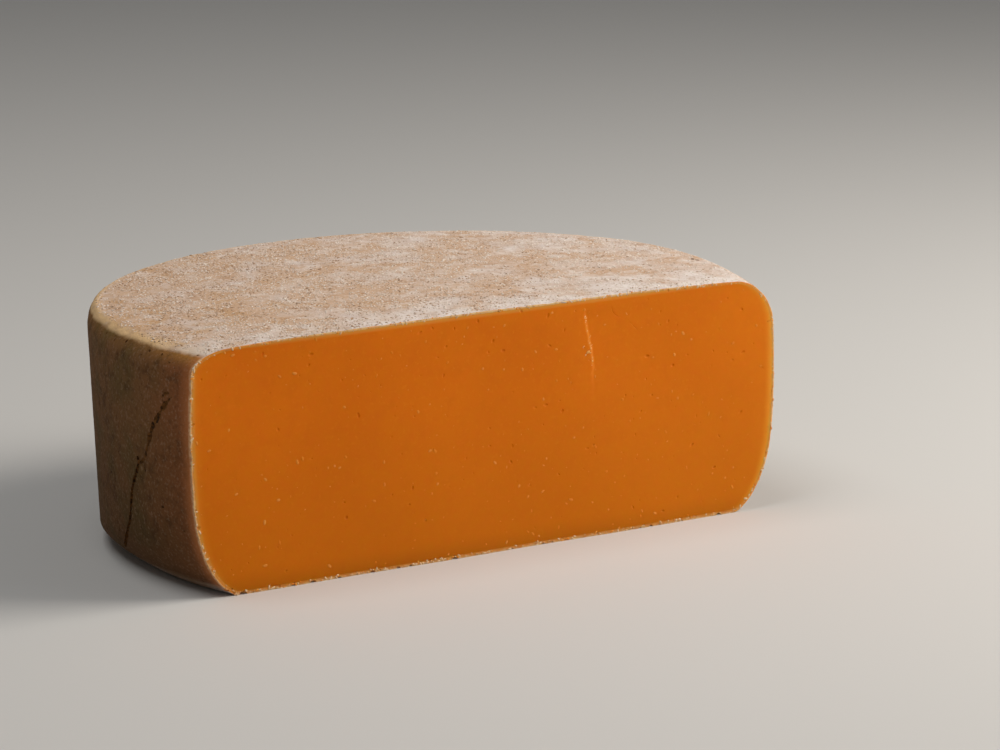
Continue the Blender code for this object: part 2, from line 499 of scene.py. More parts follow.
@dataclass
class PressedWheel:
    """The closed, uncut wheel as it leaves the press, a skin's thickness smaller where one is asked for."""

    name: str
    form: WheelForm
    cells_across: int
    cells_up: int
    skin_side: float = 0.0
    skin_top: float = 0.0
    skin_foot: float = 0.0
    relief: RindRelief | None = None
    foot_rows: float = 0.25
    side_rows: float = 0.8

    def build(self, finish: Material) -> Object:
        """Presses the wheel: a block of square cells is bent round the axis and up its section.

        Args:
            finish: The material of its surface.

        Returns:
            The wheel about its own axis.
        """
        recipe = Recipe(self.name)
        tree = recipe.tree
        across = recipe.setting("Cells Across", self.cells_across)
        up = recipe.setting("Cells Up", self.cells_up)
        cells = {"Size": (2, 2, 1), "Vertices X": across, "Vertices Y": across, "Vertices Z": up}
        block = add_node(tree, "GeometryNodeMeshCube", cells)
        x, y, z = recipe.parts(PLACE)
        share, azimuth, outward_x, outward_y = self.bent_round(x, y)
        radius, height = self.section(recipe, share, azimuth, z)
        place = {0: radius * outward_x, 1: radius * outward_y, 2: height}
        place = add_node(tree, "ShaderNodeCombineXYZ", place)
        formed = add_node(tree, "GeometryNodeSetPosition", {"Geometry": block, "Position": place})
        if self.relief:
            formed = self.roughened(recipe, formed)
        smooth = add_node(tree, "GeometryNodeSetShadeSmooth", {"Geometry": formed, "Shade Smooth": True})
        return recipe.made(smooth, finish)

    def bent_round(self, x: Wire, y: Wire) -> tuple[Wire, Wire, Wire, Wire]:
        """Bends the block's square outline into a circle of evenly wide cells.

        Args:
            x: Place across the block, from -1 to 1.
            y: Place along it, from -1 to 1.

        Returns:
            The share of the radius, the azimuth, and the x and y of the way outwards.
        """
        wide, deep = x.worked("ABSOLUTE"), y.worked("ABSOLUTE")
        flank = wide.above(deep)
        turn = flank.chosen(y / wide, x / deep) * (math.pi / 4)
        along, aside = turn.worked("COSINE"), turn.worked("SINE")
        outward_x = flank.chosen(x.worked("SIGN") * along, aside)
        outward_y = flank.chosen(aside, y.worked("SIGN") * along)
        return wide.worked("MAXIMUM", deep), outward_y.worked("ARCTAN2", outward_x), outward_x, outward_y

    def rim(self, recipe: Recipe, azimuth: Wire, reach: Wire) -> dict[str, Wire]:
        """The rims' rounding at an azimuth, as nodes.

        Args:
            recipe: The tree.
            azimuth: The angle round the axis.
            reach: How far round the axis the rounding of the cut's ends reaches.

        Returns:
            Each of the rim's sizes, by its name.
        """
        end = math.asin(self.form.cut_before_axis / self.form.radius)
        shares = []
        for name, place in (("Left End Azimuth", math.pi + end), ("Right End Azimuth", -end)):
            apart = (azimuth - recipe.setting(name, place)).worked("COSINE").worked("ARCCOSINE")
            shares.append((1 - apart / reach).eased())
        back = recipe.settings_of(self.form.back, "back_")
        left = recipe.settings_of(self.form.left, "left_")
        right = recipe.settings_of(self.form.right, "right_")
        return {
            name: size + (left[name] - size) * shares[0] + (right[name] - size) * shares[1]
            for name, size in back.items()
        }

    def section(self, recipe: Recipe, share: Wire, azimuth: Wire, z: Wire) -> tuple[Wire, Wire]:
        """Bends the block's side up the wheel's section, with more rows where it is round.

        Args:
            recipe: The tree.
            share: The share of the radius, 1 on the side.
            azimuth: The angle round the axis.
            z: Place up the block, from -0.5 to 0.5.

        Returns:
            The radius and the height of the point.
        """
        size = recipe.settings_of(self.form)
        rim = self.rim(recipe, azimuth, size["end_reach"])
        row = z + 0.5
        foot_turn = (row / recipe.setting("Foot Rows", self.foot_rows)).clipped() * (math.pi / 2)
        side = ((row - self.foot_rows) / (self.side_rows - self.foot_rows)).clipped()
        top_turn = ((row - self.side_rows) / (1 - self.side_rows)).clipped() * (math.pi / 2)
        straight = size["height"] - size["shoulder"] - rim["top_down"] - rim["foot_up"]
        height = rim["foot_up"] * (1 - foot_turn.worked("COSINE")) + straight * side
        height = height + rim["top_down"] * top_turn.worked("SINE")
        inset = rim["foot_in"] * (1 - foot_turn.worked("SINE"))
        inset = inset + rim["top_in"] * (1 - top_turn.worked("COSINE"))
        rise = height / size["height"]
        radius = size["radius"] - size["taper"] * (1 - rise) + rim["bulge"] * 4 * rise * (1 - rise) - inset
        for lobes, name in ((2, "oval"), (3, "three_lobes")):
            turn = azimuth * lobes
            radius = radius + size[f"{name}_across"] * turn.worked("COSINE")
            radius = radius + size[f"{name}_aslant"] * turn.worked("SINE")
        last_row = 0.4999
        on_top = z.above(last_row)
        height = height + on_top * (size["shoulder"] * (1 - share**6) + size["crown"] * (1 - share**2))
        skin_foot = recipe.setting("Skin Foot", self.skin_foot)
        skins = skin_foot + recipe.setting("Skin Top", self.skin_top)
        height = skin_foot + height * (1 - skins / size["height"])
        return (radius - recipe.setting("Skin Side", self.skin_side)) * share, height

    def roughened(self, recipe: Recipe, geometry: Wire) -> Wire:
        """Presses lumps, dents and grain into the surface, but not into its foot.

        Args:
            recipe: The tree.
            geometry: The smooth wheel.

        Returns:
            The rough wheel.
        """
        size = recipe.settings_of(self.relief)
        dents = (recipe.noise(size["dent_size"], 1.0) - size["dents_above"]) * size["dent_steepness"]
        depth = size["sink"] + size["lump_depth"] * recipe.noise(size["lump_size"], 3.0)
        depth = depth + size["dent_depth"] * dents.eased()
        depth = depth + size["grain_depth"] * recipe.noise(size["grain_size"], 2.0)
        depth = depth * (recipe.parts(PLACE)[2] / size["foot_fade"]).eased()
        return recipe.moved(geometry, add_node(recipe.tree, FACING), depth * -1.0)


@dataclass
class KnifePath:
    """What the knife took: everything in front of one upright cut, with its waves and its tear."""

    form: WheelForm
    behind_plane: float = 0.15 * MM
    cell: float = 0.75 * MM
    clearance: float = 12.0 * MM
    apex_before: float = 1.5
    wave_depth: float = 0.25 * MM
    wave_length: float = 95.0 * MM
    wave_slant: float = 0.4
    tear_top_x: float = 47.5 * MM
    tear_lean: float = 4.7 * MM
    tear_length: float = 27.0 * MM
    tear_start: float = 3.5 * MM
    tear_rise: float = 6.0 * MM
    tear_depth: float = 0.45 * MM
    tear_fade: float = 55.0 * MM
    tear_width: float = 0.7 * MM
    tear_curve: float = 1.5
    tear_raggedness: float = 3.4 * MM
    tear_grain: float = 3.0 * MM
    drag_size: float = 9.0 * MM
    drag_depth: float = 0.07 * MM
    curd_size: float = 1.8 * MM
    curd_depth: float = 0.03 * MM

    def build(self, finish: Material) -> Object:
        """Shapes a fine sheet like the cut face, and draws its border to a point well in front.

        Args:
            finish: The material that the cut faces take.

        Returns:
            The closed cutter.
        """
        recipe = Recipe("knife_path")
        tree = recipe.tree
        size = recipe.settings_of(self)
        width = 2 * (self.form.radius + self.clearance)
        tall = self.form.height + 2 * self.clearance
        cells = {"Vertices X": round(width / self.cell), "Vertices Y": round(tall / self.cell)}
        sheet = add_node(tree, "GeometryNodeMeshGrid", {"Size X": width, "Size Y": tall, **cells})
        x, up, _ = recipe.parts(PLACE)
        z = up + self.form.height / 2
        upright = add_node(tree, "ShaderNodeCombineXYZ", {0: x, 1: -self.form.cut_before_axis, 2: z})
        upright = add_node(tree, "GeometryNodeSetPosition", {"Geometry": sheet, "Position": upright})
        x, y, z = recipe.parts(PLACE)
        shaped = add_node(tree, "ShaderNodeCombineXYZ", {0: x, 1: y + self.depth(recipe, size, x, z), 2: z})
        shaped = add_node(tree, "GeometryNodeSetPosition", {"Geometry": upright, "Position": shaped})
        faces_beside = add_node(tree, "GeometryNodeInputMeshEdgeNeighbors")
        border = {"Mesh": shaped, "Selection": faces_beside.worked("COMPARE", 1.0, 0.1), "Offset Scale": 0.0}
        drawn = add_node(tree, "GeometryNodeExtrudeMesh", border, mode="EDGES")
        middle = self.form.height / 2
        apex = add_node(tree, "ShaderNodeCombineXYZ", {0: 0.0, 1: size["apex_before"] * -1.0, 2: middle})
        pointed = {"Geometry": drawn.output("Mesh"), "Selection": drawn.output("Top"), "Position": apex}
        pointed = add_node(tree, "GeometryNodeSetPosition", pointed)
        closed = add_node(tree, "GeometryNodeMergeByDistance", {"Geometry": pointed, "Distance": 0.01 * MM})
        return recipe.made(add_node(tree, "GeometryNodeFlipFaces", {"Mesh": closed}), finish)

    def depth(self, recipe: Recipe, size: dict[str, Wire], x: Wire, z: Wire) -> Wire:
        """How far into the cheese the cut face lies.

        Args:
            recipe: The tree.
            size: The tree's named inputs.
            x: Place across the face.
            z: Height on the face.

        Returns:
            The depth behind the flat plane.
        """
        wave = ((x + size["wave_slant"] * z) * math.tau / size["wave_length"]).worked("SINE")
        down = ((self.form.height - z) / size["tear_length"]).clipped()
        ragged = (recipe.noise(size["tear_grain"], 2.0, (0, 0, 1)) - 0.5) * size["tear_raggedness"]
        right = x - (size["tear_top_x"] + size["tear_lean"] * down ** self.tear_curve + ragged)
        below = (self.form.height - size["tear_length"] - z) / size["tear_length"]
        torn = (right / size["tear_width"]).eased() * (1 - right / size["tear_fade"]).eased()
        torn = torn * (1 - below).eased()
        torn = torn * ((self.form.height - size["tear_start"] - z) / size["tear_rise"]).eased()
        drag = (recipe.noise(size["drag_size"], 2.0, (0.5, 1, 1)) - 0.5) * size["drag_depth"]
        curd = (recipe.noise(size["curd_size"], 2.0) - 0.5) * size["curd_depth"]
        return size["behind_plane"] + size["wave_depth"] * wave + size["tear_depth"] * torn + drag + curd


# Grooves and lumps


def snapped(
    surface: Object, places: Sequence[Vector], name: str, joined: bool = False
) -> Mesh:
    """Moves places onto a surface and keeps which way it faces there.

    Args:
        surface: The object with the surface.
        places: Places near it.
        name: The new mesh's name.
        joined: Whether an edge joins each place to the next.

    Returns:
        A mesh of points in the same order, which keeps "facing".
    """
    found = [surface.closest_point_on_mesh(place) for place in places]
    edges = [(i, i + 1) for i in range(len(places) - 1)] if joined else []
    mesh = bpy.data.meshes.new(name)
    mesh.from_pydata([spot for _, spot, _, _ in found], edges, [])
    facing = mesh.attributes.new("facing", "FLOAT_VECTOR", "POINT")
    facing.data.foreach_set("vector", np.array([normal for _, _, normal, _ in found], np.float32).ravel())
    return mesh


@dataclass(frozen=True)
class Groove:
    """A crack or scratch that wanders along a route over the surface, narrow at both ends."""

    name: str
    route: tuple[Spot, ...]
    width_mm: float
    depth_mm: float
    wander_mm: float = 0.6
    wander_size_mm: float = 2.5
    unevenness: float = 1.0
    crumbling_mm: float = 1.7
    crumb_size_mm: float = 1.3
    narrowing: float = 0.12
    step_mm: float = 0.45
    sides: int = 8

    def cutter(
        self, surface: Object, place: Callable[[float, float], Vector], finish: Material
    ) -> Object:
        """Runs a round-bottomed tool along the route, just deep enough for the groove's width.

        Args:
            surface: The object with the surface.
            place: What turns the route's spots to places.
            finish: The groove's walls.

        Returns:
            The closed tube that the tool sweeps.
        """
        recipe = Recipe(self.name)
        tree = recipe.tree
        size = recipe.settings_of(self)
        curve = add_node(tree, "GeometryNodeMeshToCurve", {0: recipe.carrier})
        rounded = add_node(tree, "GeometryNodeCurveSplineType", {0: curve}, spline_type="CATMULL_ROM")
        fine = {"Curve": rounded, "Length": size["step"]}
        fine = add_node(tree, "GeometryNodeResampleCurve", fine, mode="LENGTH")
        along = add_node(tree, "GeometryNodeSplineParameter").output("Factor")
        inward = (along.worked("MINIMUM", 1 - along) / size["narrowing"]).eased()
        end_width = 0.2
        uneven = 1 + (recipe.noise(size["wander_size"]) - 0.5) * 2 * size["unevenness"]
        share = (end_width + (1 - end_width) * inward) * uneven
        half = size["width"] / 2
        radius = (size["depth"] * size["depth"] + half * half) / (2 * size["depth"])
        wandered = recipe.jittered(fine, size["wander_size"], size["wander"])
        facing = add_node(tree, KEPT, {"Name": "facing"}, data_type="FLOAT_VECTOR")
        sunk = recipe.moved(wandered, facing, (radius - size["depth"]) * share)
        ring = {"Resolution": size["sides"], "Radius": 1.0}
        ring = add_node(tree, "GeometryNodeCurvePrimitiveCircle", ring)
        swept = {"Curve": sunk, "Profile Curve": ring, "Scale": radius * share, "Fill Caps": True}
        tube = add_node(tree, "GeometryNodeCurveToMesh", swept)
        tube = recipe.jittered(tube, size["crumb_size"], size["crumbling"])
        route = snapped(surface, [place(*spot) for spot in self.route], self.name, joined=True)
        return recipe.made(tube, finish, route)


@dataclass(frozen=True)
class Lump:
    """The shape of a crumb, a grain or a pit. Its thickness and longest length are shares of its width."""

    narrowest_mm: float
    widest_mm: float
    thickness: float = 0.5
    longest: float = 1.6
    proud_mm: float = 0.0
    raggedness: float = 0.3
    sides: int = 8
    rows: int = 4

    def laid_on(self, recipe: Recipe, points: Wire, rotation: Wire, seed: Wire) -> Wire:
        """Lays one lump on each point, no two alike, and keeps a random "tint" for each.

        Args:
            recipe: The tree.
            points: The points.
            rotation: The turn that lays the lump's thickness along the surface's normal.
            seed: The seed of every random choice.

        Returns:
            The lumps' meshes.
        """
        tree = recipe.tree
        size = recipe.settings_of(self)
        chances = [
            add_node(tree, "FunctionNodeRandomValue", {"Seed": seed + i}, data_type="FLOAT").output(1)
            for i in range(4)
        ]
        ball = {"Radius": 0.5, "Segments": size["sides"], "Rings": size["rows"]}
        width = size["narrowest"] + (size["widest"] - size["narrowest"]) * chances[0] ** 2.0
        length = width * (1 + (size["longest"] - 1) * chances[1])
        turn = {"Axis": (0, 0, 1), "Angle": chances[2] * math.tau}
        turn = {"Rotation": rotation, "Rotate By": add_node(tree, "FunctionNodeAxisAngleToRotation", turn)}
        shape = {0: length, 1: width, 2: width * size["thickness"]}
        laid = {
            "Points": points,
            "Instance": add_node(tree, "GeometryNodeMeshUVSphere", ball),
            "Rotation": add_node(tree, "FunctionNodeRotateRotation", turn, rotation_space="LOCAL"),
            "Scale": add_node(tree, "ShaderNodeCombineXYZ", shape),
        }
        laid = add_node(tree, "GeometryNodeInstanceOnPoints", laid)
        lift = add_node(tree, "ShaderNodeCombineXYZ", {0: 0.0, 1: 0.0, 2: size["proud"]})
        lifted = {0: laid, "Translation": lift, "Local Space": True}
        lifted = add_node(tree, "GeometryNodeTranslateInstances", lifted)
        tinted = {"Geometry": lifted, "Name": "tint", "Value": chances[3]}
        tinted = add_node(
            tree, "GeometryNodeStoreNamedAttribute", tinted, data_type="FLOAT", domain="INSTANCE"
        )
        whole = add_node(tree, "GeometryNodeRealizeInstances", {0: tinted})
        ragged = recipe.jittered(whole, size["widest"] / 2, size["narrowest"] * size["raggedness"])
        return add_node(tree, "GeometryNodeSetShadeSmooth", {"Geometry": ragged, "Shade Smooth": True})


class Zone(Enum):
    """A part of the surface that small things are strewn over."""

    TOP = "the flat top, clear of the rim"
    SIDE = "the round side"
    CUT = "what the knife laid open"
    TEAR = "the torn step in the cut face"


@dataclass(frozen=True)
class Strewn:
    """Lumps strewn by chance over one part of the surface, closer together in some patches."""

    name: str
    lump: Lump
    zone: Zone
    per_square_cm: float
    spacing_mm: float
    patch_size_mm: float = 20.0
    patchiness: float = 0.0
    seed: int = 1
    rarer: str = ""
    patches_above: float = 0.42
    patch_contrast: float = 8.0
    flat_from: float = 0.93
    upright_to: float = 0.75
    square_on: float = -0.9
    face_depth: float = 2.0 * MM
    side_from: float = 3.0 * MM
    torn_from: float = 0.4

    def over(self, surface: Object, form: WheelForm, finish: Material) -> Object:
        """Strews the lumps, rarer where the number that "rarer" names grows to 1.

        Args:
            surface: The object that they lie on.
            form: The wheel's sizes.
            finish: The lumps' material.

        Returns:
            All the lumps as one object.
        """
        recipe = Recipe(self.name)
        seed = recipe.setting("Seed", self.seed)
        noise = recipe.noise(recipe.setting("Patch Size", self.patch_size_mm * MM), 2.0)
        patch = ((noise - self.patches_above) * self.patch_contrast).eased()
        density = 1 - recipe.setting("Patchiness", self.patchiness) * (1 - patch)
        if self.rarer:
            density = density * (1 - add_node(recipe.tree, KEPT, {"Name": self.rarer}))
        spread = {
            "Mesh": recipe.carrier,
            "Selection": self.part(recipe, form),
            "Distance Min": recipe.setting("Spacing", self.spacing_mm * MM),
            "Density Max": recipe.setting("Per Square Metre", self.per_square_cm * 1e4),
            "Density Factor": density,
            "Seed": seed,
        }
        spread = add_node(
            recipe.tree, "GeometryNodeDistributePointsOnFaces", spread, distribute_method="POISSON"
        )
        lumps = self.lump.laid_on(recipe, spread.output("Points"), spread.output("Rotation"), seed)
        return recipe.made(lumps, finish, surface.data)

    def part(self, recipe: Recipe, form: WheelForm) -> Wire:
        """Where the lumps may lie.

        Args:
            recipe: The tree.
            form: The wheel's sizes.

        Returns:
            1 there and 0 elsewhere.
        """
        normal_x, normal_y, normal_z = recipe.parts(FACING)
        x, y, z = recipe.parts(PLACE)
        near_cut = y.below(recipe.setting("Face Zone", -form.cut_before_axis + self.face_depth))
        match self.zone:
            case Zone.TOP:
                return normal_z.above(self.flat_from) * z.above(form.height / 2)
            case Zone.SIDE:
                upright = normal_z.worked("ABSOLUTE").below(self.upright_to)
                outward = (normal_x * x + normal_y * y).above(0.0)
                return upright * outward * (1 - near_cut) * z.above(self.side_from)
            case Zone.CUT:
                return near_cut * normal_y.below(self.square_on)
            case Zone.TEAR:
                torn = add_node(recipe.tree, KEPT, {"Name": "torn"})
                return torn.above(self.torn_from)


@dataclass(frozen=True)
class Placed:
    """Lumps at chosen spots of a surface."""

    name: str
    lump: Lump
    spots: tuple[Spot, ...]
    seed: int = 1

    def on(
        self, surface: Object, place: Callable[[float, float], Vector], finish: Material
    ) -> Object:
        """Lays the lumps.

        Args:
            surface: The object that they lie on.
            place: What turns the spots to places.
            finish: The lumps' material.

        Returns:
            All the lumps as one object.
        """
        recipe = Recipe(self.name)
        tree = recipe.tree
        seed = recipe.setting("Seed", self.seed)
        facing = add_node(tree, KEPT, {"Name": "facing"}, data_type="FLOAT_VECTOR")
        upright = add_node(tree, "FunctionNodeAlignRotationToVector", {"Vector": facing}, axis="Z")
        lumps = self.lump.laid_on(recipe, recipe.carrier, upright, seed)
        return recipe.made(lumps, finish, snapped(surface, [place(*spot) for spot in self.spots], self.name))


# Finishes


def srgb(hex_value: str) -> tuple[float, float, float, float]:
    """Turns an sRGB hex colour to linear light."""
    parts = [int(hex_value[i : i + 2], 16) / 255 for i in (1, 3, 5)]
    return (*(p / 12.92 if p <= 0.04045 else ((p + 0.055) / 1.055) ** 2.4 for p in parts), 1.0)


@dataclass(frozen=True)
class Patches:
    """A broken layer of one colour, laid where soft noise rises above a level."""

    colour: str
    size_mm: float
    detail: float
    above: float
    contrast: float


@dataclass(frozen=True)
class Fade:
    """A layer of one colour that fades with a distance which the mesh keeps."""

    colour: str
    distance: str
    reach_mm: float
    share: float = 1.0


@dataclass(frozen=True)
class Glow:
    """How light sinks into a fatty stuff: how much of it, how far, and how much further the red goes."""

    share: float
    reach_mm: float
    colours: tuple[float, float, float]


class Coat:
    """A material in the making, built up in layers over the piece's own coordinates."""

    def __init__(self, name: str) -> None:
        """Starts a Principled material."""
        self.material = bpy.data.materials.new(name)
        self.material.use_nodes = True
        self.tree = self.material.node_tree
        self.shader = self.tree.nodes["Principled BSDF"]
        self.places = add_node(self.tree, "ShaderNodeTexCoord").output("Object")

    def noise(self, size_mm: float, detail: float = 2.0) -> Wire:
        """Soft noise from 0 to 1.

        Args:
            size_mm: The length of its lumps.
            detail: How many finer layers it has.

        Returns:
            The noise.
        """
        links = {"Vector": self.places, "Scale": 1 / (size_mm * MM), "Detail": detail}
        return add_node(self.tree, "ShaderNodeTexNoise", links)

    def dots(self, spacing_mm: float, size_mm: float, kept: float) -> Wire:
        """Small round dots, one in some of the cells of a loose grid.

        Args:
            spacing_mm: How far the cells' middles are apart.
            size_mm: A dot's diameter.
            kept: The share of cells that have one.

        Returns:
            1 in a dot and 0 outside.
        """
        cells = {"Vector": self.places, "Scale": 1 / (spacing_mm * MM)}
        near = add_node(self.tree, "ShaderNodeTexVoronoi", cells)
        chance = add_node(self.tree, "ShaderNodeSeparateColor", {0: near.output("Color")})
        edge, sharpness = size_mm / spacing_mm / 2, 3
        return ((edge - near) * (sharpness / edge)).clipped() * chance.below(kept)

    def read(self, *names: str) -> tuple[Wire, ...]:
        """Numbers that the mesh keeps for each of its points."""
        nodes = [add_node(self.tree, "ShaderNodeAttribute", attribute_name=name) for name in names]
        return tuple(node.output("Fac") for node in nodes)

    def spread(self, patches: Patches, more: Wire | None = None) -> Wire:
        """How much patches cover each point.

        Args:
            patches: The patches.
            more: What is added to their noise.

        Returns:
            1 and more in them, 0 and less between them.
        """
        level = self.noise(patches.size_mm, patches.detail) - patches.above
        return (level if more is None else level + more) * patches.contrast

    def laid(self, under: Any, over: str, amount: Wire) -> Wire:
        """Lays a colour over what is there.

        Args:
            under: The colour so far.
            over: The new colour, as sRGB hex.
            amount: How much of it covers each point.

        Returns:
            The colour with the new layer.
        """
        under = srgb(under) if isinstance(under, str) else under
        links = {0: amount.clipped(), 6: under, 7: srgb(over)}
        return add_node(self.tree, "ShaderNodeMix", links, data_type="RGBA").output(2)

    def mottled(self, under: Any, *layers: Patches, more: Wire | None = None) -> Wire:
        """Lays patches over what is there, one layer after the other.

        Args:
            under: The colour so far.
            *layers: The patches.
            more: What is added to their noise.

        Returns:
            The colour with the new layers.
        """
        for patches in layers:
            under = self.laid(under, patches.colour, self.spread(patches, more))
        return under

    def faded(self, under: Any, *layers: Fade, by: Wire | float = 1.0) -> Wire:
        """Lays colours that fade with a distance over what is there.

        Args:
            under: The colour so far.
            *layers: The fading colours.
            by: What their shares are multiplied by.

        Returns:
            The colour with the new layers.
        """
        for fade in layers:
            near = (1 - self.read(fade.distance)[0] / (fade.reach_mm * MM)).eased()
            under = self.laid(under, fade.colour, near * fade.share * by)
        return under

    def bumped(self, **depths_mm: tuple[float, float, float]) -> None:
        """Gives the surface relief too fine for its mesh, each kind by its size, its detail and its depth."""
        heights = [self.noise(size, detail) * (depth * MM) for size, detail, depth in depths_mm.values()]
        links = {"Height": sum(heights, 0.0), "Distance": 1.0, "Strength": 1.0}
        bump = add_node(self.tree, "ShaderNodeBump", links)
        self.tree.links.new(bump.socket, self.shader.inputs["Normal"])

    def done(
        self, colour: Any, roughness: Wire | float, specular: float, glow: Glow | None = None
    ) -> Material:
        """Sets the shader's sockets.

        Args:
            colour: The base colour.
            roughness: The roughness.
            specular: The specular level.
            glow: How light sinks in, where it does.

        Returns:
            The finished material.
        """
        values = {"Base Color": colour, "Roughness": roughness, "Specular IOR Level": specular}
        if glow:
            values["Subsurface Weight"] = glow.share
            values["Subsurface Radius"] = glow.colours
            values["Subsurface Scale"] = glow.reach_mm * MM
        for name, value in values.items():
            if isinstance(value, Wire):
                self.tree.links.new(value.socket, self.shader.inputs[name])
            else:
                self.shader.inputs[name].default_value = value
        return self.material


@dataclass(frozen=True)
class PasteFinish:
    """Annatto-dyed curd, pressed and cut: dense and fatty, so light sinks into it and comes out orange."""

    body: str = "#E77C04"
    deep_areas: Patches = Patches("#DD7003", size_mm=30, detail=2, above=0.42, contrast=1.2)
    deep_curds: Patches = Patches("#DD7003", size_mm=7, detail=3, above=0.5, contrast=1.6)
    pale_curds: Patches = Patches("#EE8C18", size_mm=2.0, detail=3, above=0.56, contrast=2.2)
    lower: str = "#CC7604"
    lower_reach_mm: float = 75.0
    lower_share: float = 0.6
    # Painted shade: the face is laid darker in the last centimetre above the floor, where shade falls.
    by_foot: Fade = Fade("#A65E06", "from_foot", reach_mm=11.0, share=0.4)
    # pale is painted light: the face is laid paler towards the right, where the light falls more strongly.
    pale: str = "#EE8C18"
    pale_share: float = 0.25
    # golden is a painted glow by the side: it stands in for light shining through the paste's edge, and is
    # stronger towards the right, where the light comes from.
    golden: Fade = Fade("#FFB236", "from_side", reach_mm=6.0)
    golden_left: float = 0.3
    golden_right: float = 0.9
    beside_rind: Fade = Fade("#F2A444", "from_rind", reach_mm=1.8, share=0.75)
    # torn is partly the torn curd's own paler tone and partly a painted highlight: the tear's wall faces the
    # light from the right.
    torn: str = "#F2A352"
    torn_share: float = 0.4
    glow: Glow = Glow(share=0.9, reach_mm=1.6, colours=(1.0, 0.5, 0.2))

    def material(self) -> Material:
        """Makes the paste's material."""
        coat = Coat("annatto_paste")
        from_foot, from_left, torn = coat.read("from_foot", "from_left", "torn")
        colour = coat.mottled(self.body, self.deep_areas, self.deep_curds, self.pale_curds)
        low = 1 - from_foot / (self.lower_reach_mm * MM)
        colour = coat.laid(colour, self.lower, low * self.lower_share)
        # Painted shade by the floor.
        colour = coat.faded(colour, self.by_foot)
        # Painted light: paler towards the right.
        colour = coat.laid(colour, self.pale, from_left**2.0 * self.pale_share)
        # Painted glow along the side, stronger to the right where the light comes from.
        painted_glow_share = self.golden_left + (self.golden_right - self.golden_left) * from_left**3.0
        colour = coat.faded(colour, self.golden, by=painted_glow_share)
        colour = coat.faded(colour, self.beside_rind)
        # Paler torn wall: partly real, partly a painted highlight.
        colour = coat.laid(colour, self.torn, torn * self.torn_share)
        coat.bumped(curd=(1.1, 3, 0.03))
        waxy_from, waxy_range = 0.45, 0.16
        return coat.done(colour, coat.noise(6, 2) * waxy_range + waxy_from, 0.1, self.glow)


@dataclass(frozen=True)
class CurdFinish:
    """Curd that the knife dragged or missed: paler and drier than the paste round it."""

    name: str
    body: str
    dry: str
    glow: Glow = Glow(share=0.3, reach_mm=0.5, colours=(1.0, 0.45, 0.15))

    def material(self) -> Material:
        """Makes the loose curd's material."""
        coat = Coat(self.name)
        return coat.done(coat.laid(self.body, self.dry, coat.read("tint")[0] ** 1.5), 0.6, 0.1, self.glow)


@dataclass(frozen=True)
class RindCutFinish:
    """The rind's own thickness where the knife cut it: dry and pale outside, golden next to the paste."""

    outer: str = "#F3CB92"
    inner: str = "#EA963A"
    outer_depth_mm: float = 1.3
    waver: float = 1.2
    waver_size_mm: float = 2.2
    stains: Patches = Patches("#DA8A3C", size_mm=3.2, detail=3, above=0.54, contrast=4)
    # Painted shade: the cut rind is laid darker at its foot, by the floor.
    by_foot: str = "#AE6C26"
    by_foot_share: float = 0.35
    glow: Glow = Glow(share=0.5, reach_mm=0.8, colours=(1.0, 0.5, 0.25))

    def material(self) -> Material:
        """Makes the cut rind's material."""
        coat = Coat("cut_rind")
        rind_depth, above_foot = coat.read("rind_depth", "above_foot")
        waver = (coat.noise(self.waver_size_mm, 3) - 0.5) * self.waver
        inward = rind_depth / (self.outer_depth_mm * MM) + waver
        colour = coat.laid(self.outer, self.inner, inward.eased())
        colour = coat.mottled(colour, self.stains)
        # Painted shade at the foot.
        colour = coat.laid(colour, self.by_foot, (1 - above_foot) * self.by_foot_share)
        coat.bumped(crumb=(0.7, 2, 0.1))
        return coat.done(colour, 0.75, 0.2, self.glow)


